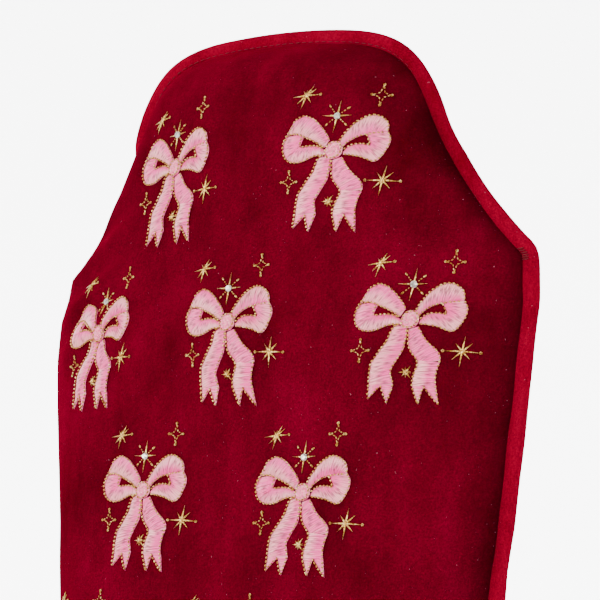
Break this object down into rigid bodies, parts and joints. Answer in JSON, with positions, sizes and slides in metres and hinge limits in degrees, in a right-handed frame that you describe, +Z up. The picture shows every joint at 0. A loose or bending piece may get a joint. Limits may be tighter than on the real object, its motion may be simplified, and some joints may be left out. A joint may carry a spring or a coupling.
{
  "type": "wine gift bag",
  "caption": "Padded velvet gift bag for a wine bottle, with sloped shoulders, a wide neck, bound seams and bows embroidered on the front.",
  "frame": {"origin": "middle of the bounding box's bottom face, on the surface the bag stands on", "axes": "+Z up, -Y out of the embroidered front, +X to the right as seen from the front"},
  "size_m": [0.2288, 0.0977, 0.36],
  "materials": {
    "velvet": "wine red pile velvet",
    "binding": "folded velvet binding",
    "wadding": "white polyester wadding",
    "lining": "wine red satin lining",
    "board": "stiff grey board, sewn into the base",
    "satin_thread": "pink satin stitching",
    "gold_thread": "metallic gold thread",
    "crystal": "faceted clear stone",
    "snap_metal": "nickel plate"
  },
  "bodies": {
    "bag": {"front_panel": "velvet", "front_wadding": "wadding", "front_lining": "lining", "back_panel": "velvet", "back_wadding": "wadding", "back_lining": "lining", "left_binding": "binding", "right_binding": "binding", "base_panel": "velvet", "base_board": "board", "base_lining": "lining", "base_binding": "binding", "left_bar_tack": "gold_thread", "right_bar_tack": "gold_thread", "bow_2a": "satin_thread", "bow_2b": "satin_thread", "bow_2c": "satin_thread", "gold_row_2": "gold_thread", "stars_row_2": "gold_thread", "crystals_row_2": "crystal", "bow_3a": "satin_thread", "bow_3b": "satin_thread", "gold_row_3": "gold_thread", "stars_row_3": "gold_thread", "crystals_row_3": "crystal", "bow_4a": "satin_thread", "bow_4b": "satin_thread", "bow_4c": "satin_thread", "gold_row_4": "gold_thread", "stars_row_4": "gold_thread", "crystals_row_4": "crystal", "bow_5a": "satin_thread", "bow_5b": "satin_thread", "gold_row_5": "gold_thread", "stars_row_5": "gold_thread", "crystals_row_5": "crystal"},
    "front_flap": {"front_flap_panel": "velvet", "front_flap_wadding": "wadding", "front_flap_lining": "lining", "front_flap_binding": "binding", "snap_stud": "snap_metal", "stud_patch": "lining", "bow_1a": "satin_thread", "bow_1b": "satin_thread", "gold_row_1": "gold_thread", "stars_row_1": "gold_thread", "crystals_row_1": "crystal"},
    "back_flap": {"back_flap_panel": "velvet", "back_flap_wadding": "wadding", "back_flap_lining": "lining", "back_flap_binding": "binding", "snap_socket": "snap_metal", "socket_patch": "lining"}
  },
  "joints": [
    {"name": "front_flap_fold", "type": "hinge", "parent": "bag", "child": "front_flap", "pos_m": [0, -0.03961, 0.272], "axis": [1, 0, 0], "range_deg": [0, 28], "stiffness_Nm_per_rad": 0.04, "springref_deg": -5.73},
    {"name": "back_flap_fold", "type": "hinge", "parent": "bag", "child": "back_flap", "pos_m": [0, 0.04536, 0.272], "axis": [-1, 0, 0], "range_deg": [0, 38], "stiffness_Nm_per_rad": 0.04, "springref_deg": -5.73}
  ]
}
